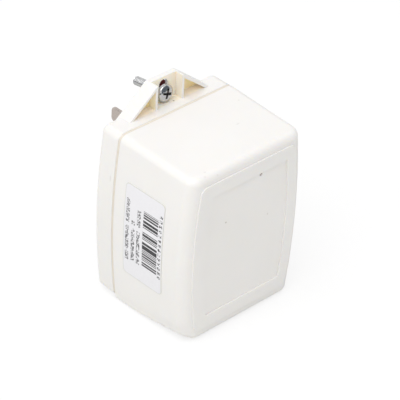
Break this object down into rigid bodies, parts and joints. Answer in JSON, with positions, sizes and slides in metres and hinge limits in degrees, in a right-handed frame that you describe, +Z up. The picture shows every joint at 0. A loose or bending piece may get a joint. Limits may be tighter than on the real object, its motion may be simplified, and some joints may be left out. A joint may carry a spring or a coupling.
{
  "type": "plug-in ac transformer",
  "caption": "Wall plug-in transformer: bowed two-part moulded case with a raised front, plug blades, a screw tab, screw terminals in its foot and a wound laminated core inside.",
  "frame": {"origin": "on the face that lies against the wall, midway between the plug blades", "axes": "+Y into the wall, along the plug blades; +Z up, towards the mounting tab; +X to the right seen from the front"},
  "size_m": [0.0612, 0.0674, 0.085],
  "materials": {
    "case_plastic": "fine moulded gloss, warm white",
    "plated_blade": "nickel-plated brass strip",
    "plated_screw": "bright nickel plate",
    "red_fibre": "vulcanised fibre",
    "grey_fibre": "pressed insulating board",
    "lamination_steel": "varnished silicon steel",
    "bobbin_nylon": "glass-filled nylon",
    "enamelled_copper": "enamelled winding wire",
    "coil_tape": "polyester tape",
    "fuse_can": "plated can with an epoxy end",
    "woven_sleeve": "varnished glass braid",
    "black_insulation": "soft vinyl",
    "white_insulation": "soft vinyl",
    "yellow_insulation": "soft vinyl",
    "terminal_brass": "bright rolled strip",
    "zinc_screw": "zinc plate",
    "label_paper": "smooth coated stock"
  },
  "bodies": {
    "root": {"front_housing": "case_plastic", "back_cover": "case_plastic", "blade_left": "plated_blade", "blade_right": "plated_blade", "blade_retainer": "grey_fibre", "mounting_screw": "plated_screw", "fibre_washer": "red_fibre", "e_lamination_stack": "lamination_steel", "i_lamination_stack": "lamination_steel", "bobbin": "bobbin_nylon", "primary_winding": "enamelled_copper", "secondary_winding": "enamelled_copper", "primary_tape": "coil_tape", "secondary_tape": "coil_tape", "thermal_fuse": "fuse_can", "fuse_sleeve": "woven_sleeve", "line_lead_in": "black_insulation", "line_lead_out": "black_insulation", "neutral_lead": "white_insulation", "secondary_lead_right": "yellow_insulation", "secondary_lead_left": "yellow_insulation", "terminal_plate_left": "terminal_brass", "terminal_plate_right": "terminal_brass", "terminal_screws": "zinc_screw", "side_label": "label_paper"}
  },
  "joints": []
}
